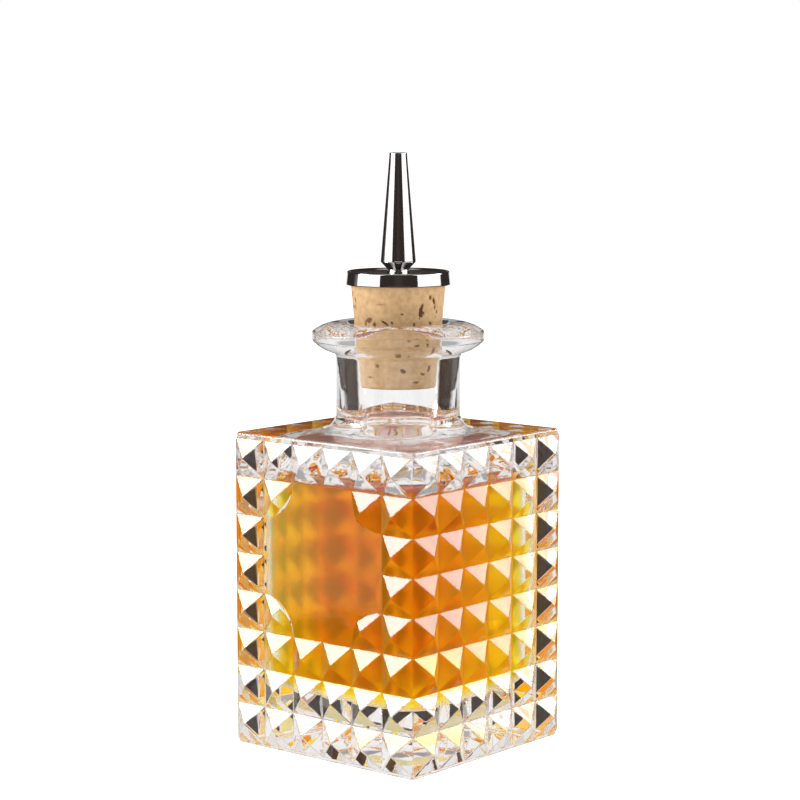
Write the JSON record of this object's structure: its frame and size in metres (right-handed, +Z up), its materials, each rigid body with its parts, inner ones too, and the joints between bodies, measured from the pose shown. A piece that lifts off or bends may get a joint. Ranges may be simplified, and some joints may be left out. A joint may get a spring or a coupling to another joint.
{
  "type": "bitters bottle",
  "caption": "Square pressed-glass bitters bottle with diamond points, a flat panel, a round lipped neck and a tapered cork stopper with a polished dasher cap and spout.",
  "frame": {"origin": "middle of the base, on the surface the bottle stands on", "axes": "+Z up along the neck and spout, -Y out of the face with the flat panel"},
  "size_m": [0.0558, 0.0558, 0.1312],
  "materials": {
    "clear_glass": "fire-polished clear pressed glass",
    "amber_liquid": "clear amber liquid",
    "natural_cork": "natural cork with dark pores",
    "polished_metal": "mirror-polished plating"
  },
  "bodies": {
    "bottle": {"glass_bottle": "clear_glass", "bitters_liquid": "amber_liquid"},
    "cork": {"cork_stopper": "natural_cork"},
    "dasher": {"dasher_cap": "polished_metal", "pour_spout": "polished_metal", "stem_tube": "polished_metal"}
  },
  "joints": [
    {"name": "stopper_lift", "type": "slide", "parent": "bottle", "child": "cork", "axis": [0, 0, 1], "range_m": [0, 0.025]},
    {"name": "dasher_turn", "type": "hinge", "parent": "cork", "child": "dasher", "pos_m": [0, 0, 0.0923], "axis": [0, 0, 1], "continuous": true}
  ]
}
